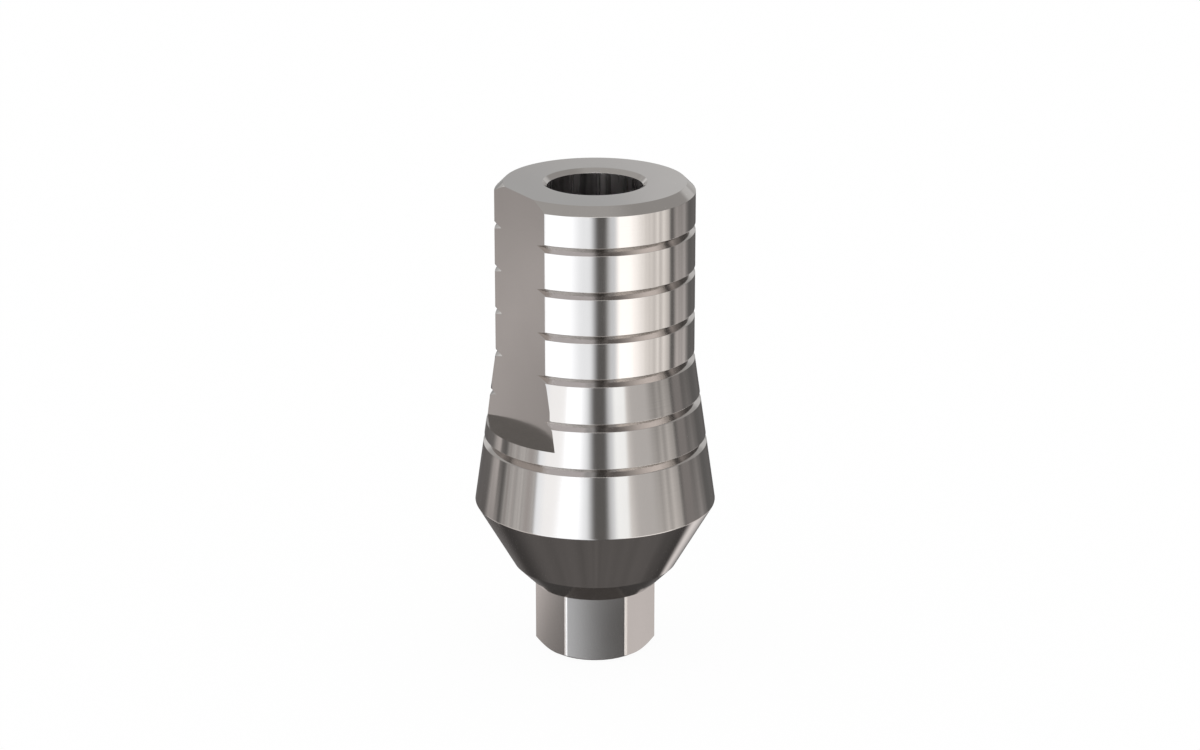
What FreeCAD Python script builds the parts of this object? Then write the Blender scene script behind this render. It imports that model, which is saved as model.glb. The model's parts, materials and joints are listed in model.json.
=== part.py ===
"""Dental abutment: one turned and milled piece that carries a crown on an implant.

Its own frame has the origin at the centre of the hexagon's end face, +Z up the axis to the post's
top face, and the anti-rotation flat facing -Y. Lengths are in millimetres, angles in degrees.
"""
import FreeCAD, Part
import enum
import os

import Sketcher

# Driving sizes: name, value, what it measures
SIZES = [
    ("post_diameter", 4.5, "straight part of the post, over the lands between its grooves"),
    ("post_length", 4.0, "from the top face down to where the flare starts"),
    ("post_chamfer", 0.2, "chamfer round the top face"),
    ("margin_diameter", 5.5, "widest ring, where the crown ends"),
    ("margin_edge_radius", 0.05, "edge break on the widest ring"),
    ("flare_length", 3.5, "height of the cone from the post out to the margin"),
    ("emergence_length", 1.5, "height of the cone from the margin in to the seating bevel"),
    ("bevel_length", 0.5, "height of the bevel that seats in the implant's mouth"),
    ("bevel_angle", 45.0, "bevel to the axis"),
    ("hex_length", 1.6, "height of the connection hexagon, its lead-in included"),
    ("hex_across_flats", 2.42, "connection hexagon, flat to flat"),
    ("hex_corner_trim", 0.021, "how much of each sharp corner is turned away to a land"),
    ("hex_lead_in", 0.27, "radial width of the lead-in cone on the hexagon's end"),
    ("hex_lead_in_angle", 30.0, "lead-in cone to the end face"),
    ("hex_wall", 0.335, "wall between the screw's hole and the middle of a hexagon flat"),
    ("screw_hole_chamfer", 0.05, "edge break on the screw hole's lower mouth"),
    ("seat_height", 2.6, "from the hexagon's end up to the foot of the screw's seat"),
    ("seat_width", 0.2, "radial width of the screw's seat"),
    ("seat_angle", 90.0, "included angle of the screw's seat"),
    ("channel_chamfer", 0.1, "chamfer on the screw channel's mouth"),
    ("flat_depth", 0.3, "how deep the anti-rotation flat lies under the post's surface"),
    ("flat_length", 5.6, "from the top face down to the flat's ledge"),
    ("groove_count", 6, "retention grooves down the post and the flare"),
    ("groove_first", 1.0, "from the top face down to the first groove"),
    ("groove_pitch", 1.0, "from one groove down to the next"),
    ("groove_depth", 0.15, "depth of each V under the surface that it is cut in"),
    ("groove_angle", 60.0, "included angle of each V"),
]

# Sizes that follow from the driving ones: name, formula
WORKED_OUT = [
    ("post_radius", "post_diameter / 2"),
    ("margin_radius", "margin_diameter / 2"),
    ("hex_apothem", "hex_across_flats / 2"),
    ("hex_corner_radius", "hex_apothem / cos(30deg) - hex_corner_trim"),
    ("hex_end_radius", "hex_corner_radius - hex_lead_in"),
    ("hex_lead_in_height", "hex_lead_in * tan(hex_lead_in_angle * 1deg)"),
    ("bevel_radius", "hex_corner_radius + bevel_length * tan(bevel_angle * 1deg)"),
    ("bevel_height", "hex_length + bevel_length"),
    ("margin_height", "bevel_height + emergence_length"),
    ("flare_height", "margin_height + flare_length"),
    ("top_height", "flare_height + post_length"),
    ("flare_slope", "(margin_radius - post_radius) / flare_length"),
    ("screw_hole_radius", "hex_apothem - hex_wall"),
    ("channel_radius", "screw_hole_radius + seat_width"),
    ("channel_foot", "seat_height + seat_width / tan(seat_angle * 0.5deg)"),
    ("flat_distance", "post_radius - flat_depth"),
    ("ledge_height", "top_height - flat_length"),
    ("groove_half_width", "2 * groove_depth * tan(groove_angle * 0.5deg)"),
]

HEX_FLAT_COUNT = 6
FULL_TURN_ANGLE = 360
CLOSE = 1e-6  # mm, for telling ring edges apart by their radius and height

# How a sketch counts the ends of a line
LineEnd = enum.IntEnum("LineEnd", ["START", "END"])


class Own(enum.IntEnum):
    """How a sketch counts its own origin and its own two axes."""
    ORIGIN = -1
    LEVEL_AXIS = -1
    UPRIGHT_AXIS = -2


def driving(wanted):
    """The value of one driving size."""
    return next(value for name, value, meaning in SIZES if name == wanted)


def groove_numbers():
    return range(1, int(driving("groove_count")) + 1)


def groove_formulas():
    """Where each groove's V has its tip and its two open corners.

    The V follows the post and then the flare at the same depth. It is drawn twice as deep as it
    cuts, so that its open side lies outside the surface.
    """
    formulas = []
    for number in groove_numbers():
        drop = f"(groove_first + {number - 1} * groove_pitch)"
        surface = f"(post_radius + max(0; {drop} - post_length) * flare_slope)"
        formulas += [
            (f"groove_{number}_height", f"top_height - {drop}"),
            (f"groove_{number}_tip", f"{surface} - groove_depth"),
            (f"groove_{number}_open", f"{surface} + groove_depth"),
            (f"groove_{number}_upper", f"groove_{number}_height + groove_half_width"),
            (f"groove_{number}_lower", f"groove_{number}_height - groove_half_width"),
        ]
    return formulas


def add_size_sheet(document):
    """Write every size into one sheet, the driving ones as numbers and the others as formulas."""
    sheet = document.addObject("Spreadsheet::Sheet", "Sizes")
    rows = [(name, str(value), meaning) for name, value, meaning in SIZES]
    rows += [(name, "=" + formula, "") for name, formula in WORKED_OUT + groove_formulas()]
    for row, (name, content, meaning) in enumerate(rows, start=1):
        sheet.set(f"A{row}", name)
        sheet.set(f"B{row}", content)
        sheet.set(f"C{row}", meaning)
        sheet.setAlias(f"B{row}", name)
    document.recompute()
    return sheet


def own_datum(body, role):
    """One of the body's own planes or axes."""
    return next(datum for datum in body.Origin.OriginFeatures if datum.Role == role)


def new_sketch(body, name):
    """A sketch on the plane through the axis that faces -Y: its x runs across, its y up the axis."""
    sketch = body.newObject("Sketcher::SketchObject", name)
    sketch.AttachmentSupport = [(own_datum(body, "XZ_Plane"), "")]
    sketch.MapMode = "FlatFace"
    return sketch


def place(sheet, where):
    """The number behind a place in an outline.

    A place is a size's name, the name after a minus sign for the far side of the axis, or None for
    the axis or the base itself.
    """
    if where is None:
        return 0.0
    size = float(sheet.get(where.lstrip("-")))
    return -size if where.startswith("-") else size


def draw_outline(sketch, sheet, corners):
    """Draw a closed outline of straight lines through corners, each a place across and one up."""
    points = [FreeCAD.Vector(place(sheet, across), place(sheet, up), 0) for across, up in corners]
    first = sketch.GeometryCount
    for start, end in zip(points, points[1:] + points[:1]):
        sketch.addGeometry(Part.LineSegment(start, end), False)
    lines = range(first, sketch.GeometryCount)
    for line in lines:
        following = line + 1 if line + 1 in lines else first
        sketch.addConstraint(Sketcher.Constraint(
            "Coincident", line, LineEnd.END, following, LineEnd.START))
    for line, (across, up) in zip(lines, corners):
        hold_corner(sketch, sheet, line, "DistanceX", Own.UPRIGHT_AXIS, across)
        hold_corner(sketch, sheet, line, "DistanceY", Own.LEVEL_AXIS, up)


def hold_corner(sketch, sheet, line, direction, axis, where):
    """Hold a line's start on a sketch axis, or at a size's distance from the sketch's origin."""
    if where is None:
        sketch.addConstraint(Sketcher.Constraint("PointOnObject", line, LineEnd.START, axis))
        return
    distance = abs(place(sheet, where))
    if where.startswith("-"):
        ends = (line, LineEnd.START, Own.ORIGIN, LineEnd.START)
    else:
        ends = (Own.ORIGIN, LineEnd.START, line, LineEnd.START)
    index = sketch.addConstraint(Sketcher.Constraint(direction, *ends, distance))
    name = f"{direction}_{line}"
    sketch.renameConstraint(index, name)
    sketch.setExpression(f"Constraints.{name}", "Sizes." + where.lstrip("-"))


def turn(body, kind, name, sketch):
    """Sweep a sketch once round the axis, to add or to cut."""
    feature = body.newObject(kind, name)
    feature.Profile = sketch
    feature.ReferenceAxis = (sketch, ["V_Axis"])
    feature.Angle = FULL_TURN_ANGLE
    body.Document.recompute()


def ring_edge(shape, radius, height):
    """The name of the shape's full circular edge at this radius and height."""
    for number, edge in enumerate(shape.Edges, start=1):
        if not isinstance(edge.Curve, Part.Circle):
            continue
        if abs(edge.Curve.Radius - radius) < CLOSE and abs(edge.Curve.Center.z - height) < CLOSE:
            return f"Edge{number}"
    raise ValueError(f"no ring of radius {radius} at height {height}")


def dress_ring(body, sheet, kind, name, radius, height, size):
    """Chamfer or round the ring edge at a radius and a height, by a size."""
    base = body.Tip
    edge = ring_edge(base.Shape, place(sheet, radius), place(sheet, height))
    feature = body.newObject(kind, name)
    feature.Base = (base, [edge])
    size_property = "Radius" if kind == "PartDesign::Fillet" else "Size"
    feature.setExpression(size_property, f"Sizes.{size}")
    body.Document.recompute()


def turn_outside(body, sheet):
    """Turn the outer form from the lead-in cone up to the top face."""
    sketch = new_sketch(body, "outer_profile")
    draw_outline(sketch, sheet, [
        (None, None),
        ("hex_end_radius", None),
        ("hex_corner_radius", "hex_lead_in_height"),
        ("hex_corner_radius", "hex_length"),
        ("bevel_radius", "bevel_height"),
        ("margin_radius", "margin_height"),
        ("post_radius", "flare_height"),
        ("post_radius", "top_height"),
        (None, "top_height"),
    ])
    turn(body, "PartDesign::Revolution", "turned_blank", sketch)
    dress_ring(body, sheet, "PartDesign::Fillet", "margin_edge_break",
               "margin_radius", "margin_height", "margin_edge_radius")
    dress_ring(body, sheet, "PartDesign::Chamfer", "top_face_chamfer",
               "post_radius", "top_height", "post_chamfer")


def bore_screw_channel(body, sheet):
    """Bore the hole for the screw's shank, its conical seat and the channel that its head passes."""
    sketch = new_sketch(body, "bore_profile")
    draw_outline(sketch, sheet, [
        (None, None),
        ("screw_hole_radius", None),
        ("screw_hole_radius", "seat_height"),
        ("channel_radius", "channel_foot"),
        ("channel_radius", "top_height"),
        (None, "top_height"),
    ])
    turn(body, "PartDesign::Groove", "screw_channel", sketch)
    dress_ring(body, sheet, "PartDesign::Chamfer", "channel_mouth",
               "channel_radius", "top_height", "channel_chamfer")
    dress_ring(body, sheet, "PartDesign::Chamfer", "screw_hole_edge_break",
               "screw_hole_radius", None, "screw_hole_chamfer")


def cut_retention_grooves(body, sheet):
    """Turn the V grooves that key the crown's cement, down the post and onto the flare."""
    sketch = new_sketch(body, "groove_profile")
    for number in groove_numbers():
        height = f"groove_{number}_height"
        draw_outline(sketch, sheet, [
            (f"groove_{number}_tip", height),
            (f"groove_{number}_open", f"groove_{number}_lower"),
            (f"groove_{number}_open", f"groove_{number}_upper"),
        ])
    turn(body, "PartDesign::Groove", "retention_grooves", sketch)


def mill_flat(body, sheet, name, distance, foot, head, reach):
    """Mill away all that stands in front of an upright plane, between its foot and its head.

    The plane faces -Y at a distance from the axis, and the cut reaches as far to each side.
    """
    sketch = new_sketch(body, name + "_profile")
    sketch.setExpression("AttachmentOffset.Base.z", f"Sizes.{distance}")
    draw_outline(sketch, sheet, [
        ("-" + reach, foot),
        (reach, foot),
        (reach, head),
        ("-" + reach, head),
    ])
    pocket = body.newObject("PartDesign::Pocket", name)
    pocket.Profile = sketch
    pocket.Type = "ThroughAll"
    pocket.Reversed = True
    body.Document.recompute()
    return pocket


def mill_anti_rotation_flat(body, sheet):
    """Mill the flat down one side of the post and flare, which keeps the crown from turning."""
    mill_flat(body, sheet, "anti_rotation_flat", "flat_distance", "ledge_height", "top_height",
              "margin_radius")


def mill_hexagon(body, sheet):
    """Mill the connection's flats, which leave a narrow round land at each corner."""
    flat = mill_flat(body, sheet, "hexagon_flat", "hex_apothem", None, "hex_length",
                     "hex_corner_radius")
    pattern = body.newObject("PartDesign::PolarPattern", "hexagon")
    pattern.Originals = [flat]
    pattern.Axis = (own_datum(body, "Z_Axis"), [""])
    pattern.Angle = FULL_TURN_ANGLE
    pattern.Occurrences = HEX_FLAT_COUNT
    body.Tip = pattern
    body.Document.recompute()


def make_abutment(document, sheet):
    """Make the one piece in the order of its work: turned, bored, grooved, then milled."""
    body = document.addObject("PartDesign::Body", "Abutment")
    body.Label = "abutment"
    body.Placement = FreeCAD.Placement()
    turn_outside(body, sheet)
    volumes = [body.Shape.Volume]
    for cut in (bore_screw_channel, cut_retention_grooves, mill_anti_rotation_flat, mill_hexagon):
        cut(body, sheet)
        volumes.append(body.Shape.Volume)
        if volumes[-1] >= volumes[-2]:
            raise RuntimeError(f"{cut.__name__} cut nothing away")
    print("cubic millimetres after each step:", [round(volume, 3) for volume in volumes])
    return body


def check_document(document, bodies):
    """Stop on any failed feature, and on a piece that is empty, broken or in several solids."""
    for item in document.Objects:
        if "Invalid" in item.State or "Error" in item.State:
            raise RuntimeError(f"{item.Label} failed: {item.State}")
    for body in bodies:
        if body.Shape.isNull() or not body.Shape.isValid() or len(body.Shape.Solids) != 1:
            raise RuntimeError(f"{body.Label} is not one sound solid")


document = FreeCAD.newDocument("DentalAbutment")
sheet = add_size_sheet(document)
bodies = [make_abutment(document, sheet)]
document.recompute()
check_document(document, bodies)
os.makedirs("parts", exist_ok=True)
for body in bodies:
    body.Shape.exportStep(f"parts/{body.Label}.step")
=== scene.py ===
# %% [markdown]
# A dental abutment, turned and milled from one bar of titanium
#
# A dentist sets this part, 11 mm tall, into an implant in the jaw, fixes it with a screw through
# its channel and cements a crown over it. Metal of this kind has almost no colour of its own.
# What the eye reads is the form, by the reflections that bend along it, so the lesson spends its
# time on three things: a mesh whose curved faces are truly smooth, a finish that remembers the
# lathe and the mill, and a studio of cards and lamps for the metal to mirror.
#
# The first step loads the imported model. Its box and its record hold the part's real sizes, and
# what follows is worked out from them and from a few more that are named below.

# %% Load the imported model
import bpy
import json
import math
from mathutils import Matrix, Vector


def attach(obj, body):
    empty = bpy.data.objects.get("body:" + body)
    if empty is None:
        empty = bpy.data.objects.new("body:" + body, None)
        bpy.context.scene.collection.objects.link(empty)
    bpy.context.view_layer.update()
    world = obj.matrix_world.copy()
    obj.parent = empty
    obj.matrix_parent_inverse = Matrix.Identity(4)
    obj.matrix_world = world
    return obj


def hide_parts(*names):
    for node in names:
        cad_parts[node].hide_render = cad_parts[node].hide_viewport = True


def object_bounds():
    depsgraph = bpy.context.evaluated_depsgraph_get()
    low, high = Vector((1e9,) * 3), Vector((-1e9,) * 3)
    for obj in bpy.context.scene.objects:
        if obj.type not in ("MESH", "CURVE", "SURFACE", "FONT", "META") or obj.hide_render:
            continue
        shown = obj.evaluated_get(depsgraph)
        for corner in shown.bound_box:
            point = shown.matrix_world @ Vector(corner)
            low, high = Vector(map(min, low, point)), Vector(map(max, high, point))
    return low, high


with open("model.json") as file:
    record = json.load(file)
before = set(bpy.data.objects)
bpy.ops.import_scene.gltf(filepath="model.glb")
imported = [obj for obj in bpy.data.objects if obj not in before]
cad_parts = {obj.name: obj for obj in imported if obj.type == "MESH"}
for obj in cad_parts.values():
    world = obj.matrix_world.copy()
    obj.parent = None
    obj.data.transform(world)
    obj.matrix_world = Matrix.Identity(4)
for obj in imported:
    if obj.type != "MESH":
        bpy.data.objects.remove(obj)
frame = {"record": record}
cad_low, cad_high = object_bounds()
mounts = {mount["name"]: mount for mount in frame["record"]["mounts"]}
print("packed box, mm:", [round(side * 1000, 3) for side in cad_high - cad_low])

# %% [markdown]
# The sizes
#
# The record names the places where other parts meet this one: the screw's hole and channel, the
# post that carries the crown, and the flat that keeps the crown from turning. Their sizes are
# read from it. The chamfers, grooves and cones are named below, in millimetres, because a part
# this small is easier to think about in them. They are turned into metres when the mesh is made.

# %% Sizes of the part
MM = 0.001
HEIGHT = cad_high.z / MM
HOLE_RADIUS = mounts["screw_hole"]["dims"]["r_mm"]
CHANNEL_RADIUS = mounts["screw_channel"]["dims"]["r_mm"]
POST_RADIUS = mounts["crown_post"]["dims"]["r_mm"]
FLAT_DISTANCE = -mounts["anti_rotation_flat"]["pos_m"][1] / MM

POST_CHAMFER = 0.2
MARGIN_RADIUS = 2.75
MARGIN_ROUND = 0.05
FLARE_LENGTH = 3.5
EMERGENCE_LENGTH = 1.5
BEVEL_LENGTH = 0.5
HEX_SIDES = 6
HEX_LENGTH = 1.6
HEX_APOTHEM = 1.21
HEX_CORNER_TRIM = 0.021
HEX_LEAD_IN = 0.27
HEX_LEAD_IN_ANGLE = math.radians(30)
SEAT_HEIGHT = 2.6
CHANNEL_CHAMFER = 0.1
HOLE_CHAMFER = 0.05
FLAT_LENGTH = 5.6
GROOVE_COUNT = 6
GROOVE_PITCH = 1.0
GROOVE_DEPTH = 0.15
GROOVE_ANGLE = math.radians(60)

hex_corner_radius = HEX_APOTHEM / math.cos(math.radians(180 / HEX_SIDES)) - HEX_CORNER_TRIM
hex_end_radius = hex_corner_radius - HEX_LEAD_IN
margin_height = HEX_LENGTH + BEVEL_LENGTH + EMERGENCE_LENGTH
flare_height = margin_height + FLARE_LENGTH
flare_slope = (MARGIN_RADIUS - POST_RADIUS) / FLARE_LENGTH
ledge_height = HEIGHT - FLAT_LENGTH
print("hexagon over its corners, mm:", round(2 * hex_corner_radius, 3))

# %% [markdown]
# The outline that the lathe follows
#
# A lathe makes any form that is one outline swept round an axis. This outline starts on the
# hexagon's end face, climbs the outside, crosses the top and comes back down the bore, so it
# closes on itself. Each corner is a radius, a height and the size of its rounding. No machined
# edge is perfectly sharp: about a hundredth of a millimetre is always broken away, and that thin
# round is what catches the light in a close view. A corner whose round wouldn't show is left
# sharp here. The V grooves are cut last, with a pointed insert, so their roots stay sharp. Their
# upper lips are as round as the other edges and show as a thin dark line, and their lower lips
# are crisper.
#
# The mill works on two stretches of it, the connection at the foot and the post above the
# ledge, so the outline is written in four parts.

# %% Corners of the outline
SHARP = 0.0
EDGE_BREAK = 0.012
MOUTH_BREAK = 0.006
LOWER_LIP = 0.006
UPPER_LIP = 0.012


def surface_radius(height):
    """Radius of the post and the flare before grooves are cut in them."""
    return POST_RADIUS + max(0.0, flare_height - height) * flare_slope


def groove_corners(number):
    """The lower lip, the root and the upper lip of one V groove, counted from the top."""
    height = HEIGHT - number * GROOVE_PITCH
    widening = 1 / math.tan(GROOVE_ANGLE / 2)
    slope_below = flare_slope if height <= flare_height + GROOVE_DEPTH / widening else 0.0
    slope_above = flare_slope if height < flare_height - GROOVE_DEPTH / widening else 0.0
    lower = height - GROOVE_DEPTH / (widening - slope_below)
    upper = height + GROOVE_DEPTH / (widening + slope_above)
    return [
        (surface_radius(lower), lower, LOWER_LIP),
        (surface_radius(height) - GROOVE_DEPTH, height, SHARP),
        (surface_radius(upper), upper, UPPER_LIP),
    ]


below_ledge = []
above_ledge = []
for number in range(GROOVE_COUNT, 0, -1):
    part = below_ledge if number * GROOVE_PITCH > FLAT_LENGTH else above_ledge
    part += groove_corners(number)

connection = [
    (HOLE_RADIUS + HOLE_CHAMFER, 0.0, SHARP),
    (hex_end_radius, 0.0, EDGE_BREAK),
    (hex_corner_radius, HEX_LEAD_IN * math.tan(HEX_LEAD_IN_ANGLE), SHARP),
    (hex_corner_radius, HEX_LENGTH, SHARP),
]
waist = [
    (hex_corner_radius, HEX_LENGTH, SHARP),
    (hex_corner_radius + BEVEL_LENGTH, HEX_LENGTH + BEVEL_LENGTH, EDGE_BREAK),
    (MARGIN_RADIUS, margin_height, MARGIN_ROUND),
    *below_ledge,
    (surface_radius(ledge_height), ledge_height, SHARP),
]
post = [
    (surface_radius(ledge_height), ledge_height, SHARP),
    *above_ledge,
    (POST_RADIUS, HEIGHT - POST_CHAMFER, EDGE_BREAK),
    (POST_RADIUS - POST_CHAMFER, HEIGHT, EDGE_BREAK),
    (CHANNEL_RADIUS + CHANNEL_CHAMFER, HEIGHT, SHARP),
    (CHANNEL_RADIUS, HEIGHT - CHANNEL_CHAMFER, MOUTH_BREAK),
]
bore = [
    (CHANNEL_RADIUS, HEIGHT - CHANNEL_CHAMFER, MOUTH_BREAK),
    (CHANNEL_RADIUS, SEAT_HEIGHT + CHANNEL_RADIUS - HOLE_RADIUS, SHARP),
    (HOLE_RADIUS, SEAT_HEIGHT, SHARP),
    (HOLE_RADIUS, HOLE_CHAMFER, SHARP),
    (HOLE_RADIUS + HOLE_CHAMFER, 0.0, SHARP),
]
print("corners in the outline:", sum(len(part) - 1 for part in (connection, waist, post, bore)))

# %% [markdown]
# From corners to stretches
#
# A corner with a rounding becomes a short arc, and what is left between two corners is straight.
# Every point keeps the direction that the surface faces there. These directions are known
# exactly, from the outline itself, so the metal can be shaded with them instead of with an
# average over its facets. On a polished cylinder the difference is plain to see: an averaged
# normal bends the reflections near every edge.

# %% Straight and round stretches
ARC_STEPS = 3


def unit(across, up):
    """The direction of a step across and up, as a vector of length 1."""
    length = math.hypot(across, up)
    return across / length, up / length


def arc_points(before, corner, after, size):
    """The arc that rounds a corner, as points (radius, height, facing)."""
    arriving = unit(corner[0] - before[0], corner[1] - before[1])
    leaving = unit(after[0] - corner[0], after[1] - corner[1])
    cross = arriving[0] * leaving[1] - arriving[1] * leaving[0]
    turn = math.atan2(cross, arriving[0] * leaving[0] + arriving[1] * leaving[1])
    side = math.copysign(size, turn)
    setback = size * math.tan(abs(turn) / 2)
    facing = (arriving[1], -arriving[0])
    centre = (
        corner[0] - arriving[0] * setback - facing[0] * side,
        corner[1] - arriving[1] * setback - facing[1] * side,
    )
    points = []
    for step in range(ARC_STEPS + 1):
        angle = turn * step / ARC_STEPS
        across = facing[0] * math.cos(angle) - facing[1] * math.sin(angle)
        up = facing[0] * math.sin(angle) + facing[1] * math.cos(angle)
        points.append((centre[0] + across * side, centre[1] + up * side, (across, up)))
    return points


def stretches_of(corners, before, after):
    """The part's stretches, each a pair of points (radius, height, facing)."""
    path = [before, *corners, after]
    arcs = []
    for earlier, corner, later in zip(path, path[1:], path[2:]):
        radius, height, size = corner
        arcs.append(arc_points(earlier, corner, later, size) if size else [(radius, height, None)])
    stretches = []
    for arc, following in zip(arcs, arcs[1:]):
        stretches += zip(arc, arc[1:])
        end, start = arc[-1], following[0]
        heading = unit(start[0] - end[0], start[1] - end[1])
        facing = (heading[1], -heading[0])
        stretches.append(((end[0], end[1], facing), (start[0], start[1], facing)))
    return stretches


connection_stretches = stretches_of(connection, bore[-2], waist[1])
waist_stretches = stretches_of(waist, connection[-2], post[1])
post_stretches = stretches_of(post, waist[-2], bore[1])
bore_stretches = stretches_of(bore, post[-2], connection[1])
print("stretches of the connection, waist, post and bore:",
      [len(part) for part in (connection_stretches, waist_stretches, post_stretches,
                              bore_stretches)])

# %% [markdown]
# Flats, cut as the mill cuts them
#
# The mill takes the round blank and cuts flats on it: one on the post, six on the connection.
# A boolean could do that here too, but it leaves long slivers beside each cut, and polished
# metal shows every one. Instead, think of the blank as many upright columns of vertices. Seen
# from above, a flat is a straight line, so it sets a limit to how far from the axis the vertices
# of each column may lie. A vertex beyond the limit slides in to it. Where a sloping stretch
# crosses the limit, it gets one vertex more, exactly at the crossing, and where the flat meets
# a round band there is a column exactly at that angle. So every milled edge is true.

# %% Columns and the limit that a flat sets
AROUND = 360
CLOSEST_COLUMNS = math.radians(0.4)


def limit_at(milling, angle):
    """How far from the axis the mill leaves metal, and the middle of the flat that it cuts."""
    if milling is None:
        return math.inf, 0.0
    sides, distance = milling
    spacing = 2 * math.pi / sides
    middle = round(angle / spacing) * spacing
    across = math.cos(angle - middle)
    return (distance / across if across > 0 else math.inf), middle


def edge_angles(milling, radii):
    """The angles at which the flats meet round bands of these radii."""
    sides, distance = milling
    middles = [2 * math.pi * side / sides for side in range(sides)]
    reaches = [math.acos(distance / radius) for radius in radii]
    return [middle + sign * reach for middle in middles for reach in reaches for sign in (-1, 1)]


HEXAGON = (HEX_SIDES, HEX_APOTHEM)
FLAT = (1, FLAT_DISTANCE)
band_radii = {POST_RADIUS, POST_RADIUS - POST_CHAMFER, POST_RADIUS - GROOVE_DEPTH,
              surface_radius(ledge_height)}
exact = edge_angles(HEXAGON, [hex_corner_radius]) + edge_angles(FLAT, band_radii)
exact = [math.remainder(angle, 2 * math.pi) for angle in exact]
even = [2 * math.pi * step / AROUND - math.pi for step in range(AROUND)]
clear = [angle for angle in even
         if all(abs(math.remainder(angle - other, 2 * math.pi)) > CLOSEST_COLUMNS
                for other in exact)]
columns = sorted(exact + clear)
print("columns:", len(columns), "of which exact:", len(exact))

# %% [markdown]
# Faces, each with the way it faces
#
# A stretch of the outline becomes a strip of faces from column to column. Neighbouring strips
# meet at the same places, so vertices are looked up by place, and each is made only once: the
# mesh comes out closed, with nothing to merge afterwards. Where a flat squeezes a strip to
# nothing, its faces lose corners and drop out by themselves.
#
# Each face also notes which tool made it, because turned, milled and bored faces get different
# finishes.

# %% One face
TURNED, MILLED, BORED = range(3)
TOUCHING = 1e-7  # mm
PLACE_DIGITS = 6

places = {}
vertices = []
faces = []
normals = []
finishes = []


def vertex_at(x, y, z):
    """The number of the vertex at this place in millimetres, made if it isn't there yet."""
    key = (round(x, PLACE_DIGITS), round(y, PLACE_DIGITS), round(z, PLACE_DIGITS))
    if key not in places:
        places[key] = len(vertices)
        vertices.append((x * MM, y * MM, z * MM))
    return places[key]


def is_on_flat(corners, milling, middle):
    """If all corners of a face lie on the flat whose middle is at this angle."""
    if milling is None:
        return False
    return all(abs(radius * math.cos(angle - middle) - milling[1]) < TOUCHING
               for radius, height, facing, angle in corners)


def add_face(corners, milling, finish):
    """Add a face, given its corners as (radius, height, facing, angle)."""
    middle = limit_at(milling, (corners[0][3] + corners[1][3]) / 2)[1]
    on_flat = is_on_flat(corners, milling, middle)
    numbers = []
    directions = []
    for radius, height, (across, up), angle in corners:
        number = vertex_at(radius * math.sin(angle), -radius * math.cos(angle), height)
        if number in numbers:
            continue
        numbers.append(number)
        if on_flat:
            directions.append((math.sin(middle), -math.cos(middle), 0.0))
        else:
            directions.append((across * math.sin(angle), -across * math.cos(angle), up))
    if len(numbers) > 2:
        faces.append(numbers)
        normals.extend(directions)
        finishes.append(MILLED if on_flat else finish)


print("places are told apart down to, mm:", 10 ** -PLACE_DIGITS)

# %% [markdown]
# Strips and steps
#
# A strip takes one stretch all the way round. Between two columns it is one face, or two where
# the stretch crosses the mill's limit. Where a flat ends, the mill leaves a level step between
# the round section and the milled one: the ledge on the post, which faces up, and a narrow
# segment over each side of the hexagon, which faces down.

# %% Strips and steps
neighbours = list(zip(columns, [*columns[1:], columns[0] + 2 * math.pi]))


def column_points(start, end, milling, angle):
    """The stretch's points in one column, slid in to the limit: start, crossing and end."""
    limit = limit_at(milling, angle)[0]
    points = [start, end]
    if milling and start[0] != end[0] and start[1] != end[1]:
        share = min(1.0, max(0.0, (limit - start[0]) / (end[0] - start[0])))
        height = start[1] + share * (end[1] - start[1])
        radius = start[0] + share * (end[0] - start[0])
        points.insert(1, (radius, height, start[2]))
    return [(min(radius, limit), height, facing, angle) for radius, height, facing in points]


def add_strip(start, end, milling, finish):
    """Sweep one stretch of the outline round the axis, from column to column."""
    for angle, following in neighbours:
        here = column_points(start, end, milling, angle)
        there = column_points(start, end, milling, following)
        for low in range(len(here) - 1):
            add_face([here[low], there[low], there[low + 1], here[low + 1]], milling, finish)


def add_step(radius, height, milling, up):
    """The level step where a flat ends, facing up where up is 1 and down where it is -1."""
    for pair in neighbours:
        outer = [(radius, height, (0.0, up), angle) for angle in pair]
        inner = [(min(radius, limit_at(milling, angle)[0]), height, (0.0, up), angle)
                 for angle in reversed(pair)]
        corners = outer + inner if up > 0 else [outer[1], outer[0], inner[1], inner[0]]
        add_face(corners, None, MILLED)


print("pairs of neighbouring columns:", len(neighbours))

# %% [markdown]
# The sweep
#
# The four parts of the outline are swept one after the other, each with the flats that the mill
# cuts into it, and the steps are put in where a milled part meets a round one.

# %% Sweep the outline
for start, end in connection_stretches:
    add_strip(start, end, HEXAGON, TURNED)
add_step(hex_corner_radius, HEX_LENGTH, HEXAGON, -1.0)
for start, end in waist_stretches:
    add_strip(start, end, None, TURNED)
add_step(surface_radius(ledge_height), ledge_height, FLAT, 1.0)
for start, end in post_stretches:
    add_strip(start, end, FLAT, TURNED)
for start, end in bore_stretches:
    add_strip(start, end, None, BORED)
print("vertices:", len(vertices), "faces:", len(faces))

# %% [markdown]
# The mesh
#
# Blender shades a smooth mesh with the mean of the faces round each vertex, unless it is given
# directions of its own. Here every corner of every face has one, worked out above.

# %% The mesh with its own normals
mesh = bpy.data.meshes.new("abutment_body")
mesh.from_pydata(vertices, [], faces)
mesh.polygons.foreach_set("material_index", finishes)
mesh.shade_smooth()
mesh.normals_split_custom_set(normals)
abutment = bpy.data.objects.new("abutment_body", mesh)
bpy.context.scene.collection.objects.link(abutment)
mesh.calc_loop_triangles()
print("triangles:", len(mesh.loop_triangles))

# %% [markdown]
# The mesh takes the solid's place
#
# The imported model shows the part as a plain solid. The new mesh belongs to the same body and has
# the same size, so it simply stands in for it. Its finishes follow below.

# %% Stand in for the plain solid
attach(abutment, "root")
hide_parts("abutment")
print("stands in for the solid:", abutment.name)

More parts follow.
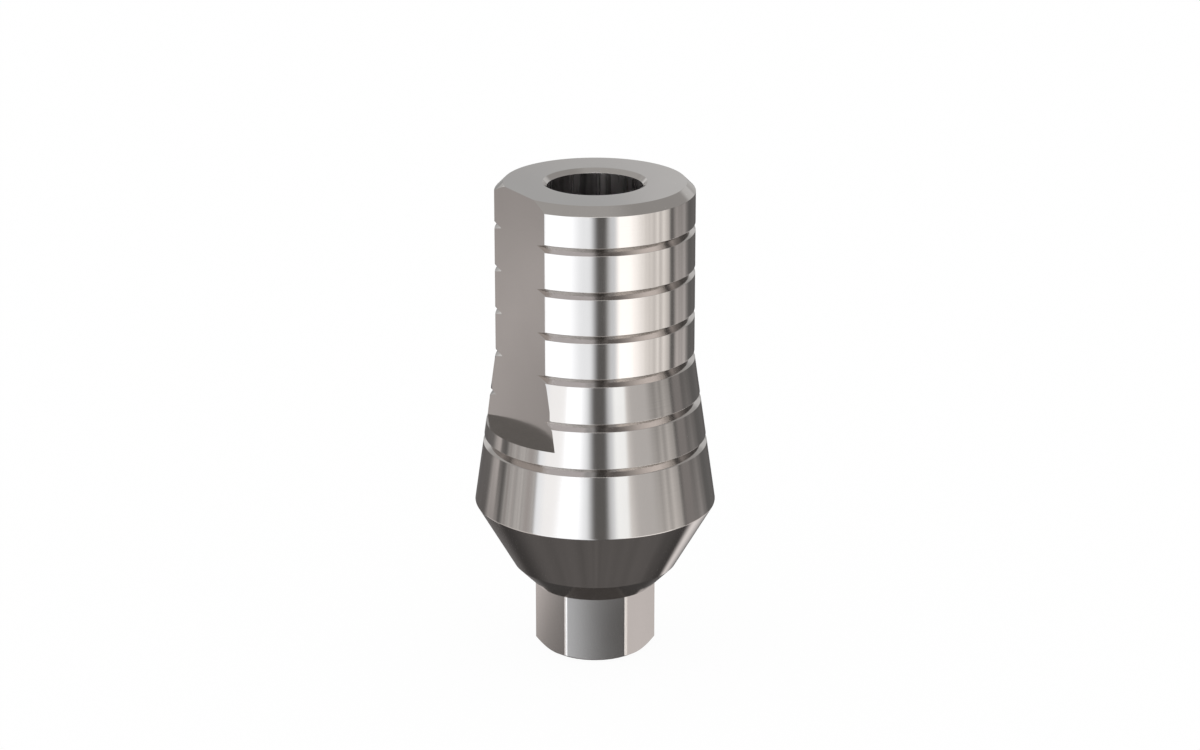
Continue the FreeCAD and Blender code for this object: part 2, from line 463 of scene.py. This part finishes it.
# %% [markdown]
# Building blocks for materials
#
# The finishes below are networks of nodes. A few helpers keep them short: they add a node and
# fill its inputs, add a sum, begin a group of nodes and place such a group in a material. An
# input is given as a value, or as the output of an earlier node, which is then linked to it.

# %% Helpers for node networks


def fill(tree, socket, value):
    """Set a socket to a value, or link it to the output of another node."""
    if isinstance(value, bpy.types.NodeSocket):
        tree.links.new(value, socket)
    else:
        socket.default_value = value


def add_node(tree, kind, **inputs):
    """Add a node. Inputs are named as in Blender, with _ for a space."""
    made = tree.nodes.new("ShaderNode" + kind)
    for name, value in inputs.items():
        fill(tree, made.inputs[name.replace("_", " ")], value)
    return made


def calculate(tree, operation, first, second=0.0):
    """Add a Math node and give its result."""
    made = tree.nodes.new("ShaderNodeMath")
    made.operation = operation
    fill(tree, made.inputs[0], first)
    fill(tree, made.inputs[1], second)
    return made.outputs[0]


def new_group(name, inputs, outputs):
    """An empty node group with named sockets, and the nodes at its two ends."""
    tree = bpy.data.node_groups.new(name, "ShaderNodeTree")
    for socket, kind in inputs:
        tree.interface.new_socket(socket, in_out="INPUT", socket_type="NodeSocket" + kind)
    for socket, kind in outputs:
        tree.interface.new_socket(socket, in_out="OUTPUT", socket_type="NodeSocket" + kind)
    return tree, tree.nodes.new("NodeGroupInput"), tree.nodes.new("NodeGroupOutput")


def add_group(tree, group, **inputs):
    """Place a node group in a material. Inputs are named as in the group, with _ for a space."""
    made = tree.nodes.new("ShaderNodeGroup")
    made.node_tree = group
    for name, value in inputs.items():
        fill(tree, made.inputs[name.replace("_", " ")], value)
    return made


shader_types = [kind for kind in dir(bpy.types) if kind.startswith("ShaderNode")]
print("Blender types whose names start with ShaderNode:", len(shader_types))

# %% [markdown]
# Where a tool has been
#
# A lathe tool follows the outline while the bar spins, so its marks are rings: they depend on
# the distance from the axis and on the height, and not on the side one looks from. The first
# group gives those two numbers as a vector. A noise that reads them makes rings by itself, on
# the cylinder, on the cones and on the top face alike.
#
# The mill moved across the part, level, so its marks are straight level lines that depend on
# the height. On the ledge, which is level itself, they depend on the distance from the flat.
# The second group gives that.
#
# The drill's own rings are gone from the channel. What shows there are faint scores along it,
# from chips and from the driver that is put in and pulled out again. The third group gives the
# place across the channel, with the height squeezed to a small share, so that a noise that reads
# it is drawn out into long streaks.

# %% The coordinates of the lathe, the mill and the drill
SCORE_SHARE = 0.03

turned_place, _, result = new_group("turned_place", [], [("Place", "Vector")])
coordinates = add_node(turned_place, "TexCoord")
split = add_node(turned_place, "SeparateXYZ", Vector=coordinates.outputs["Object"])
x_squared = calculate(turned_place, "POWER", split.outputs["X"], 2.0)
y_squared = calculate(turned_place, "POWER", split.outputs["Y"], 2.0)
radius = calculate(turned_place, "SQRT", calculate(turned_place, "ADD", x_squared, y_squared))
joined = add_node(turned_place, "CombineXYZ", X=radius, Z=split.outputs["Z"])
turned_place.links.new(joined.outputs["Vector"], result.inputs["Place"])

milled_place, _, result = new_group("milled_place", [], [("Place", "Vector")])
coordinates = add_node(milled_place, "TexCoord")
split = add_node(milled_place, "SeparateXYZ", Vector=coordinates.outputs["Object"])
facing = add_node(milled_place, "SeparateXYZ", Vector=coordinates.outputs["Normal"])
level = calculate(milled_place, "ABSOLUTE", facing.outputs["Z"])
inward = calculate(milled_place, "MULTIPLY", split.outputs["Y"], level)
joined = add_node(milled_place, "CombineXYZ", X=inward, Z=split.outputs["Z"])
milled_place.links.new(joined.outputs["Vector"], result.inputs["Place"])

bored_place, _, result = new_group("bored_place", [], [("Place", "Vector")])
coordinates = add_node(bored_place, "TexCoord")
split = add_node(bored_place, "SeparateXYZ", Vector=coordinates.outputs["Object"])
squeezed = calculate(bored_place, "MULTIPLY", split.outputs["Z"], SCORE_SHARE)
joined = add_node(bored_place, "CombineXYZ", X=split.outputs["X"], Y=split.outputs["Y"], Z=squeezed)
bored_place.links.new(joined.outputs["Vector"], result.inputs["Place"])
print("place groups:", turned_place.name, milled_place.name, bored_place.name)

# %% [markdown]
# The marks themselves
#
# The next group is shared by all three finishes. It takes a place and the tool's feed, which is
# how far the tool moves for each turn, and gives the height of the marks between 0 and 1. The
# feed is never quite even, so a fine noise at the feed's scale is mixed with a slower one, the
# chatter. The group also gives a soft cloud, which has nothing to do with the tool: hands,
# cloths and cleaning baths leave a metal a little duller in one place than in another.

# %% Tool marks
CHATTER_LENGTH = 7.0
CHATTER_SHARE = 0.3
CLOUD_SIZE = 1.6 * MM

tool_marks, ends, result = new_group("tool_marks", [("Place", "Vector"), ("Feed", "Float")],
                                     [("Height", "Float"), ("Cloud", "Float")])
per_feed = calculate(tool_marks, "DIVIDE", 1.0, ends.outputs["Feed"])
ridges = add_node(tool_marks, "TexNoise", Vector=ends.outputs["Place"], Scale=per_feed,
                  Detail=2.0, Roughness=0.6)
per_chatter = calculate(tool_marks, "DIVIDE", per_feed, CHATTER_LENGTH)
chatter = add_node(tool_marks, "TexNoise", Vector=ends.outputs["Place"], Scale=per_chatter,
                   Detail=1.0)
fine = calculate(tool_marks, "MULTIPLY", ridges.outputs[0], 1.0 - CHATTER_SHARE)
slow = calculate(tool_marks, "MULTIPLY", chatter.outputs[0], CHATTER_SHARE)
height = calculate(tool_marks, "ADD", fine, slow)
coordinates = add_node(tool_marks, "TexCoord")
cloud = add_node(tool_marks, "TexNoise", Vector=coordinates.outputs["Object"],
                 Scale=1.0 / CLOUD_SIZE, Detail=4.0, Roughness=0.55)
tool_marks.links.new(height, result.inputs["Height"])
tool_marks.links.new(cloud.outputs[0], result.inputs["Cloud"])
print("chatter comes back after this many feeds:", CHATTER_LENGTH)

# %% [markdown]
# Titanium from the lathe, the mill and the drill
#
# All three finishes are the same metal, a slightly warm grey that is darker than the grey of
# steel. It turns a trace darker still where the cloud is dull. In the channel the colour is a
# little paler and less warm: light bounces there several times before it comes out, and each
# bounce tints it again, while the photograph shows that shade almost neutral.
#
# What differs most is the feed, the depth of the marks and how far they scatter the light. The
# carbide insert of the lathe leaves the brightest surface, the end mill a satin one, and the
# drill the dullest. There it is the scores that scatter the light, so the channel shows them as
# faint upright streaks. Depths are fractions of a thousandth of a millimetre: enough to soften a
# reflection, too little to see as relief.

# %% Three finishes
TITANIUM = (0.530, 0.505, 0.485, 1.0)
DULL_TITANIUM = (0.518, 0.493, 0.473, 1.0)
# Painted light: the channel's colour is painted paler and cooler than the rest of the metal, to
# lift and neutralise the shade that the light's bounces leave there.
BORE_TITANIUM_PAINTED_PALER = (0.572, 0.553, 0.555, 1.0)
DULL_BORE_TITANIUM_PAINTED_PALER = (0.560, 0.541, 0.543, 1.0)
CLOUD_LOW = 0.35
CLOUD_HIGH = 0.65

TURNING_FEED = 0.045 * MM
MILLING_FEED = 0.07 * MM
SCORE_SPACING = 0.13 * MM
TURNING_DEPTH = 0.0004 * MM
MILLING_DEPTH = 0.0005 * MM
SCORE_DEPTH = 0.0003 * MM
TURNED_ROUGHNESS = (0.09, 0.12)
MILLED_ROUGHNESS = (0.14, 0.16)
BORED_ROUGHNESS = (0.15, 0.37)


def metal(name, place_group, feed, depth, roughness, dulled_by="Cloud",
          colours=(TITANIUM, DULL_TITANIUM)):
    """Titanium with a tool's marks.

    roughness has a value for where the marks' output dulled_by is low, and one for where it is
    high. colours has one for where the cloud is low, and one for where it is high.
    """
    material = bpy.data.materials.new(name)
    material.use_nodes = True
    tree = material.node_tree
    shader = tree.nodes["Principled BSDF"]
    shader.inputs["Metallic"].default_value = 1.0
    place = add_group(tree, place_group)
    marks = add_group(tree, tool_marks, Place=place.outputs["Place"], Feed=feed)
    tone = add_node(tree, "MapRange", Value=marks.outputs["Cloud"], From_Min=CLOUD_LOW,
                    From_Max=CLOUD_HIGH)
    colour = add_node(tree, "MixRGB", Fac=tone.outputs["Result"], Color1=colours[0],
                      Color2=colours[1])
    tree.links.new(colour.outputs["Color"], shader.inputs["Base Color"])
    gloss = add_node(tree, "MapRange", Value=marks.outputs[dulled_by], From_Min=CLOUD_LOW,
                     From_Max=CLOUD_HIGH, To_Min=roughness[0], To_Max=roughness[1])
    tree.links.new(gloss.outputs["Result"], shader.inputs["Roughness"])
    bump = add_node(tree, "Bump", Height=marks.outputs["Height"], Distance=depth)
    tree.links.new(bump.outputs["Normal"], shader.inputs["Normal"])
    return material


mesh.materials.append(metal("turned_titanium", turned_place, TURNING_FEED, TURNING_DEPTH,
                            TURNED_ROUGHNESS))
mesh.materials.append(metal("milled_titanium", milled_place, MILLING_FEED, MILLING_DEPTH,
                            MILLED_ROUGHNESS))
# The channel's finish has the drill's scores and the colour painted paler against the channel's
# shade.
mesh.materials.append(metal("bored_titanium", bored_place, SCORE_SPACING, SCORE_DEPTH,
                            BORED_ROUGHNESS, "Height", (BORE_TITANIUM_PAINTED_PALER, DULL_BORE_TITANIUM_PAINTED_PALER)))
print("finishes:", [material.name for material in mesh.materials])

# %% [markdown]
# The camera
#
# The photograph shows the part from above and from the flat's right, with a long lens, so that
# its upright edges stay almost parallel. The camera looks at a point a little above half the
# part's height. Its place is given in the part's own millimetres and degrees, and its lens in
# pixels of the photograph, from which the focal length follows.

# %% Camera
PHOTO_WIDTH = 1200
FOCAL_PIXELS = 3392.5
SENSOR_MM = 36.0
CAMERA_AZIMUTH = 59.2
CAMERA_ELEVATION = 18.53
CAMERA_DISTANCE_MM = 77.0
AIM_BELOW_TOP_MM = 4.552
AIM_RIGHT_MM = 0.112


def direction(azimuth, elevation):
    """The unit vector at these angles in degrees, where azimuth 0 is -Y and 90 is +X."""
    around, upward = math.radians(azimuth), math.radians(elevation)
    return Vector((math.sin(around) * math.cos(upward), -math.cos(around) * math.cos(upward),
                   math.sin(upward)))


camera_data = bpy.data.cameras.new("camera")
camera_data.sensor_width = SENSOR_MM
camera_data.lens = FOCAL_PIXELS / PHOTO_WIDTH * SENSOR_MM
camera_data.clip_start = 0.001
camera_data.clip_end = 10.0
camera = bpy.data.objects.new("camera", camera_data)
bpy.context.scene.collection.objects.link(camera)
bpy.context.scene.camera = camera
backwards = direction(CAMERA_AZIMUTH, CAMERA_ELEVATION)
rightwards = direction(CAMERA_AZIMUTH + 90, 0)
aim = Vector((0.0, 0.0, HEIGHT - AIM_BELOW_TOP_MM)) * MM + rightwards * AIM_RIGHT_MM * MM
camera.location = aim + backwards * CAMERA_DISTANCE_MM * MM
camera.rotation_mode = "QUATERNION"
camera.rotation_quaternion = backwards.to_track_quat("Z", "Y")
print("lens, mm:", round(camera_data.lens, 1))

# %% [markdown]
# A studio for the metal to mirror
#
# A polished metal has no look of its own: it is a picture of the room. A photographer of
# instruments therefore builds that room from cards. Wide softboxes stand left and right of the
# camera and make the two bright bands. The gap between them is the dark line down the middle,
# which tells the eye that the post is round. A dark table below draws the underside, and narrow
# cards at the sides and behind give the far edges their thin lights.
#
# Here each card is a patch of a large sphere round the part. Its edges are given as rows, the
# lowest first, and each row is a left bearing, a right bearing and an elevation, in degrees.
# Bearing 0 is the camera's own, and bearings grow to its right. A card fades out towards its
# edges, as a softbox does, over a share of its width and height. Its cloth is a little uneven,
# which gives the fine upright streaks that all turned metal shows.

# %% The glow of a card
STREAK_WIDTH = 5.0  # degrees
NO_FADE = 1e-7  # a share so small that nothing is seen to fade


def edge_fade(tree, position, low, high):
    """A mask that rises from the low edge and falls towards the high one."""
    rising = add_node(tree, "MapRange", Value=position, From_Max=max(low, NO_FADE))
    rising.interpolation_type = "SMOOTHSTEP"
    remaining = calculate(tree, "SUBTRACT", 1.0, position)
    falling = add_node(tree, "MapRange", Value=remaining, From_Max=max(high, NO_FADE))
    falling.interpolation_type = "SMOOTHSTEP"
    return calculate(tree, "MULTIPLY", rising.outputs["Result"], falling.outputs["Result"])


def card_glow(name, strength, colour, sides, ends, uneven, streaks):
    """The material of a card: it glows, and is clear where it has faded out."""
    material = bpy.data.materials.new(name)
    material.use_nodes = True
    tree = material.node_tree
    tree.nodes.clear()
    places = add_node(tree, "UVMap")
    places.uv_map = "card"
    split = add_node(tree, "SeparateXYZ", Vector=places.outputs["UV"])
    mask = calculate(tree, "MULTIPLY", edge_fade(tree, split.outputs["X"], *sides),
                     edge_fade(tree, split.outputs["Y"], *ends))
    cloth = add_node(tree, "TexNoise", Scale=streaks, Detail=3.0)
    cloth.noise_dimensions = "1D"
    tree.links.new(split.outputs["X"], cloth.inputs["W"])
    swing = add_node(tree, "MapRange", Value=cloth.outputs[0], To_Min=strength * (1 - uneven),
                     To_Max=strength * (1 + uneven))
    glow = add_node(tree, "Emission", Color=(*colour, 1.0), Strength=swing.outputs["Result"])
    clear = add_node(tree, "BsdfTransparent")
    mix = add_node(tree, "MixShader", Fac=mask)
    tree.links.new(clear.outputs[0], mix.inputs[1])
    tree.links.new(glow.outputs[0], mix.inputs[2])
    out = add_node(tree, "OutputMaterial")
    tree.links.new(mix.outputs[0], out.inputs["Surface"])
    material.cycles.emission_sampling = "NONE"
    return material


print("streaks in the cloth, degrees apart:", STREAK_WIDTH)

# %% [markdown]
# Where a card stands
#
# Each card lies a little nearer than the one before it, so a later card covers an earlier one.
# Cards show only in the metal: the camera doesn't see them, they light nothing dull and they
# cast no shadow.

# %% A card and its place
STUDIO_RADIUS = 0.5  # metres
CARD_SPACING = 0.005  # metres
CARD_STEP = 3.0  # degrees
EVEN_CLOTH = 0.03
WHITE = (1.0, 1.0, 1.0)
COOL = (0.953, 1.0, 1.053)
SOFT = (1.0, 0.98, 0.965)
WARM = (1.0, 0.968, 0.938)
ROSE = (1.0, 0.947, 0.932)

studio_centre = Vector((0.0, 0.0, HEIGHT / 2)) * MM
cards = []


def levels_of(rows):
    """The rows, with more between them wherever two are further apart than a step."""
    levels = [rows[0]]
    for lower, upper in zip(rows, rows[1:]):
        steps = max(1, round((upper[2] - lower[2]) / CARD_STEP))
        for step in range(1, steps + 1):
            levels.append([a + (b - a) * step / steps for a, b in zip(lower, upper)])
    return levels


def card_sheet(name, rows, widest, radius):
    """The mesh of a card, a patch of a sphere, with a map that goes from 0 to 1 over it."""
    across = max(1, round(widest / CARD_STEP))
    levels = levels_of(rows)
    low, high = rows[0][2], rows[-1][2]
    points = []
    shares = []
    for left, right, elevation in levels:
        for column in range(across + 1):
            share = column / across
            bearing = CAMERA_AZIMUTH + left + (right - left) * share
            points.append(studio_centre + direction(bearing, elevation) * radius)
            shares.append((share, (elevation - low) / (high - low)))
    patches = [(start, start + 1, start + across + 2, start + across + 1)
               for level in range(len(levels) - 1)
               for start in range(level * (across + 1), level * (across + 1) + across)]
    sheet = bpy.data.meshes.new(name)
    sheet.from_pydata(points, [], patches)
    layer = sheet.uv_layers.new(name="card")
    for loop in sheet.loops:
        layer.data[loop.index].uv = shares[loop.vertex_index]
    return sheet


def card(name, rows, strength, colour, sides=(0.0, 0.0), ends=(0.0, 0.0), uneven=EVEN_CLOTH,
         start_radius=STUDIO_RADIUS, streak_width=STREAK_WIDTH):
    """Add a card. rows: (left bearing, right bearing, elevation); sides, ends: shares that fade."""
    widest = max(right - left for left, right, elevation in rows)
    radius = start_radius * (1 - CARD_SPACING * len(cards) / STUDIO_RADIUS)
    sheet = card_sheet(name, rows, widest, radius)
    sheet.materials.append(card_glow(name, strength, colour, sides, ends, uneven,
                                     widest / streak_width))
    made = bpy.data.objects.new(name, sheet)
    bpy.context.scene.collection.objects.link(made)
    made.visible_camera = False
    made.visible_diffuse = False
    made.visible_shadow = False
    cards.append(made)


print("the middle of the studio, mm above the floor:", round(studio_centre.z / MM, 2))

# %% [markdown]
# The room and the table
#
# The room comes first: pale walls and ceiling, a little darker to the sides than behind, where a
# door and a window let in some light for the ends of the top's chamfers and of the grooves. A
# lamp high in front shines down into the channel. The dark table reaches up to just below the
# horizon, and a dark card in front of it goes on to a little above, which makes the dark gap
# between the softboxes. Where the part stands in its own shade the table is darker still.

# %% The room and the table
card("room", [(-180, 180, -30), (-180, 180, 90)], 0.58, (1.0, 0.99, 0.975))
card("right_wall", [(5, 155, 14), (5, 155, 76)], 0.47, SOFT, sides=(0.5, 0.1), ends=(0.15, 0.25))
card("left_wall", [(-138, -84, -4), (-138, -84, 34)], 0.31, SOFT, sides=(0.25, 0.25),
     ends=(0.2, 0.25))
card("back_wall", [(140, 214, 4), (134, 222, 32)], 0.51, WHITE, sides=(0.1, 0.12), ends=(0.3, 0.4))
card("back_door", [(136, 184, 7.2), (134, 184, 25)], 0.76, WHITE, sides=(0.14, 0.17),
     ends=(0.2, 0.38))
card("back_window", [(191, 213, 6), (191, 213, 25)], 0.88, WHITE, sides=(0.48, 0.24),
     ends=(0.22, 0.28))
card("ceiling_lamp", [(-40, 40, 28), (-40, 40, 62)], 3.7, WHITE, sides=(0.3, 0.3), ends=(0.3, 0.3))
card("table", [(-180, 180, -90), (-180, 180, -4)], 0.165, ROSE, ends=(0, 0.14), uneven=0.4,
     streak_width=24.0)
card("table_front", [(-150, 174, -40), (-122, 150, 8)], 0.17, SOFT, sides=(0.1, 0.06),
     ends=(0.1, 0.12), uneven=0.1)
card("shade_behind", [(112, 250, -88), (112, 250, -34)], 0.075, ROSE, sides=(0.2, 0.2),
     ends=(0, 0.2))
card("shade_under", [(-60, 60, -75), (-60, 60, -60)], 0.13, ROSE, sides=(0.2, 0.2), ends=(0.3, 0.3))
print("cards of the room:", len(cards))

# %% [markdown]
# The left softbox
#
# The left softbox is even and cool. A lamp inside it makes its outer half white, and a softer
# glow beside the lamp's narrow top does the same for the flare, which looks higher up than the
# post. Lower down the light is weaker, and only the V grooves look that way.

# %% The left softbox
card("left_softbox", [(-63, 4.6, -48), (-63, 4.6, -17), (-62.7, -0.6, 0), (-64.7, -2.6, 12)],
     1.55, COOL, sides=(0.08, 0.17), ends=(0.15, 0.22), uneven=0.04)
card("left_glow", [(-57, -26, -14), (-57, -26, 8)], 1.68, (0.98, 1.0, 1.025), sides=(0.3, 0.1),
     ends=(0.35, 0.3))
card("left_lamp", [(-69, -13, -40), (-69, -13, -17), (-32.5, -8.2, -4), (-31, -7.2, 10)], 2.15,
     COOL, sides=(0.1, 0.38), ends=(0.1, 0.15))
card("left_low", [(-62, 3, -50), (-62, 3, -23)], 1.46, (0.98, 0.99, 1.05), sides=(0.1, 0.14),
     ends=(0.3, 0.2))
print("cards with the left softbox:", len(cards))

# %% [markdown]
# The right softbox
#
# The right softbox is wider and warmer. Its lamp stands close to the gap, and from there the
# light falls off slowly to the right, with clear streaks in the cloth. Low down, for the grooves,
# it is the other way round: there the light grows slowly from the gap to the right.

# %% The right softbox
card("right_softbox", [(10.3, 101, -48), (10.3, 99, -17), (11, 93, -7), (11, 88, 2)], 1.12,
     WARM, sides=(0.15, 0.09), ends=(0.15, 0.36), uneven=0.45)
card("right_softbox_top", [(12, 74, -14), (11, 66, -4), (10, 60, 6)], 0.78, SOFT,
     sides=(0.1, 0.2), ends=(0.35, 0.3))
card("right_softbox_near", [(16, 66, -40), (16, 60, -17), (14, 40, -4), (14, 37, 6)], 1.10,
     SOFT, sides=(0.22, 0.3), ends=(0.1, 0.1), uneven=0.08)
card("right_softbox_edge", [(10.6, 34, -40), (10.6, 34, -17), (8.7, 30, -4), (8.3, 29, 6)], 1.09,
     COOL, sides=(0.46, 0.3), ends=(0.1, 0.1))
card("right_lamp", [(21.5, 75, -40), (21.5, 70, -17), (20, 52, -9)], 2.2, (1.0, 0.985, 0.975),
     sides=(0.17, 0.7), ends=(0.1, 0.24), uneven=0.08)
card("right_lamp_top", [(16, 35, -14), (16, 35, 5)], 1.70, (0.965, 1.0, 1.02),
     sides=(0.33, 0.22), ends=(0.3, 0.3))
card("right_low", [(9, 98, -50), (9, 98, -23)], 0.34, (1.0, 0.97, 0.98), sides=(0.12, 0.1),
     ends=(0.3, 0.2))
card("right_low_glow", [(19, 101, -50), (19, 101, -22)], 1.84, (1.0, 0.96, 0.95),
     sides=(0.67, 0.23), ends=(0.2, 0.2))
print("cards with the right softbox:", len(cards))

# %% [markdown]
# The side cards
#
# Narrow cards beyond the softboxes light the far sides, where the surface turns away from the
# camera. Three thin battens on the left one draw its sharpest lines. Two small cards behind and
# below give the thin light on the underside's right edge and on the outermost left edge, and a
# third one, dim, keeps the far ends of the top's chamfers from growing too bright.

# %% The side cards
LEFT_BATTENS = [(-95, 5, 0.45), (-86.5, 3, 0.58), (-68, 9, 0.575)]  # middle, width, strength

card("right_wing", [(101.5, 140, -44), (101.5, 137.7, -17), (90, 131, -9), (86, 128, -7)], 1.08,
     ROSE, sides=(0.18, 0.35), ends=(0.1, 0.54), uneven=0.8, streak_width=6.0)
card("right_gap", [(92, 112, -14), (92, 112, -4)], 0.34, ROSE, sides=(0.3, 0.3), ends=(0.3, 0.3))
card("left_wing", [(-105, -58, -34), (-102, -58, 6)], 0.68, (1.0, 0.98, 0.965),
     sides=(0.22, 0.1), ends=(0.15, 0.2), uneven=0.75, streak_width=3.6)
for number, (middle, width, strength) in enumerate(LEFT_BATTENS):
    left, right = middle - width / 2, middle + width / 2
    card(f"left_batten_{number}", [(left, right, -34), (left, right, 6)], strength, ROSE,
         sides=(0.4, 0.4), ends=(0.15, 0.2))
card("left_wing_low", [(-113, -57, -56), (-113, -57, -17.5)], 0.98, ROSE, sides=(0.17, 0.1),
     ends=(0.1, 0.1))
card("left_wing_outer",
     [(-134, -105, -40), (-134, -109, -17), (-127.5, -111, -9), (-124.5, -111, 0)], 0.8, ROSE,
     sides=(0.78, 0.12), ends=(0.2, 0.2))
card("low_streak", [(127, 160.5, -45), (134.5, 168.5, -32), (141, 178, -22)], 1.16, ROSE,
     sides=(0.3, 0.55), ends=(0.3, 0.3))
card("back_glow", [(176.5, 189.5, -24), (176.5, 189.5, -14)], 0.56, WHITE, sides=(0.25, 0.6),
     ends=(0.4, 0.3))
card("back_dim", [(172, 202, -7), (172, 202, 5)], 0.36, WHITE, sides=(0.5, 0.22), ends=(0.3, 0.3))
print("cards with the side cards:", len(cards))

# %% [markdown]
# The close cards
#
# A flat face mirrors one single direction of a far room, and so shows one single tone. Yet the
# hexagon's left and front faces grow darker from left to right, and the post's flat is darkest at
# its top and its lower right corner. Only something close does that, because it lies in another
# direction for each point of the face. So a few small cards stand one and a half to three
# centimetres from the middle of the part. The last one, behind and above, darkens the front of
# the top face a little.

# %% The close cards
HEXAGON_CARDS = 0.0248  # metres
FLAT_CARDS = 0.0478  # metres
LOW, HIGH = -46, -30.5  # elevations that the hexagon's cards span

card("close_left", [(-128, -104, LOW), (-128, -104, HIGH)], 0.22, ROSE, sides=(0.1, 0.1),
     ends=(0.1, 0.1), start_radius=HEXAGON_CARDS)
card("close_left_edge", [(-132, -116, LOW), (-132, -111.5, HIGH)], 1.12, ROSE, sides=(0.1, 0.3),
     ends=(0.1, 0.1), start_radius=HEXAGON_CARDS)
card("close_front", [(-9, 13, LOW), (-9, 13, HIGH)], 0.132, SOFT, sides=(0.1, 0.1),
     ends=(0.1, 0.1), start_radius=HEXAGON_CARDS)
card("close_front_edge", [(-12, 2.4, LOW), (-12, 2.4, HIGH)], 1.00, COOL, sides=(0.1, 0.37),
     ends=(0.1, 0.1), start_radius=HEXAGON_CARDS)
card("close_right", [(108, 130, LOW), (108, 130, HIGH)], 0.90, ROSE, sides=(0.1, 0.1),
     ends=(0.1, 0.1), start_radius=HEXAGON_CARDS)
card("close_flat_top", [(-135, -102, -12), (-135, -102, 4)], 0.51, ROSE, sides=(0.2, 0.2),
     ends=(0.55, 0.1), start_radius=FLAT_CARDS)
card("close_flat_corner", [(-117.5, -100, -26), (-117.5, -100, -8)], 0.48, ROSE,
     sides=(0.16, 0.2), ends=(0.1, 0.55), start_radius=FLAT_CARDS)
card("close_top", [(171, 200, 34.3), (171, 200, 48)], 0.575, (0.97, 0.986, 0.992),
     sides=(0.3, 0.2), ends=(0.33, 0.2), start_radius=HEXAGON_CARDS)
print("cards in all:", len(cards))

# %% [markdown]
# The floor and the white round it
#
# The part stands on a plain pale floor in a white room. The world's even light falls on the
# floor, and the part keeps some of it off, so a faint soft shadow shows where it stands. For the
# camera, most of the floor's colour comes from a glow of strength 1, which is plain white, so
# that the floor has no visible end. The metal doesn't mirror the floor: the dark table stands
# there for it.

# %% Floor
FLOOR_SIZE = 4.0
FLOOR_GLOW = 0.95
FLOOR_COLOUR = (0.97, 0.97, 0.97, 1.0)

half = FLOOR_SIZE / 2
floor_mesh = bpy.data.meshes.new("floor")
floor_mesh.from_pydata([(-half, -half, 0), (half, -half, 0), (half, half, 0), (-half, half, 0)],
                       [], [(0, 1, 2, 3)])
floor = bpy.data.objects.new("floor", floor_mesh)
bpy.context.scene.collection.objects.link(floor)
floor.visible_glossy = False

paint = bpy.data.materials.new("pale_floor")
paint.use_nodes = True
tree = paint.node_tree
tree.nodes.clear()
path = add_node(tree, "LightPath")
seen = calculate(tree, "ADD", path.outputs["Is Camera Ray"], path.outputs["Is Glossy Ray"])
seen = calculate(tree, "ADD", seen, path.outputs["Is Transmission Ray"])
mix = add_node(tree, "MixShader", Fac=calculate(tree, "MULTIPLY", seen, FLOOR_GLOW))
plain = add_node(tree, "BsdfDiffuse", Color=FLOOR_COLOUR)
glow = add_node(tree, "Emission")
tree.links.new(plain.outputs[0], mix.inputs[1])
tree.links.new(glow.outputs[0], mix.inputs[2])
out = add_node(tree, "OutputMaterial")
tree.links.new(mix.outputs[0], out.inputs["Surface"])
floor_mesh.materials.append(paint)
print("floor, metres across:", FLOOR_SIZE)

# %% [markdown]
# The world
#
# What the camera sees past the floor is the world. It is plain white too, and the colours are
# shown as they are, without a film look, as in a catalogue picture.

# %% World
world = bpy.data.worlds.new("studio")
bpy.context.scene.world = world
world.use_nodes = True
world.node_tree.nodes["Background"].inputs["Color"].default_value = (*WHITE, 1.0)
bpy.context.scene.view_settings.view_transform = "Standard"
print("world:", world.name)

# %% [markdown]
